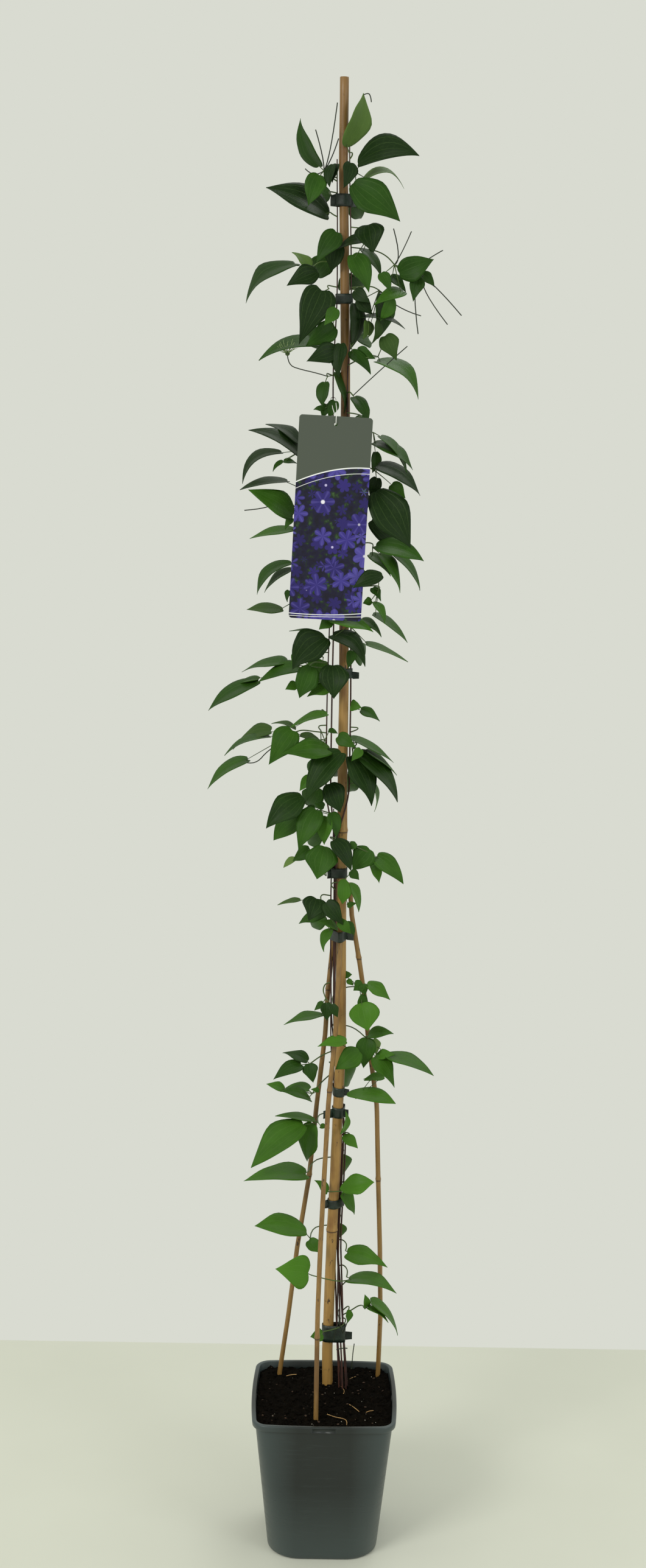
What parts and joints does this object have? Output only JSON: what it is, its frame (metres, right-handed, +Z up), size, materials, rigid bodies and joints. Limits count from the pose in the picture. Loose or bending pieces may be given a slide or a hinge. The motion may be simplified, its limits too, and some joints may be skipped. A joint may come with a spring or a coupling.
{
  "type": "potted clematis",
  "caption": "Tall potted clematis: leafy climbing stems tied to an upright cane in a square plastic pot of soil, with thin side canes and a hanging card label.",
  "frame": {"origin": "centre of the pot's base, on the surface it stands on", "axes": "+Z up along the plant, front (label side) faces -Y, +X to the right seen from the front"},
  "size_m": [0.3112, 0.2063, 1.9083],
  "materials": {
    "pot": "satin",
    "soil": "matte",
    "cane": "satin",
    "thin_cane": "satin",
    "leaf": "satin",
    "tape": "satin",
    "label": "gloss",
    "label_tie": "satin"
  },
  "bodies": {
    "root": {"pot": "pot", "soil": "soil", "cane_main": "cane", "cane_left": "thin_cane", "cane_front": "thin_cane", "cane_right": "thin_cane", "stem_right": "leaf", "stem_left_top": "leaf", "stem_left_mid": "leaf", "stem_middle": "leaf", "stem_low": "leaf", "tape_1": "tape", "tape_2": "tape", "tape_3": "tape", "tape_4": "tape", "tape_5": "tape", "tape_6": "tape", "tape_7": "tape", "tape_8": "tape", "tape_9": "tape", "label": "label", "label_tie": "label_tie"}
  },
  "joints": []
}
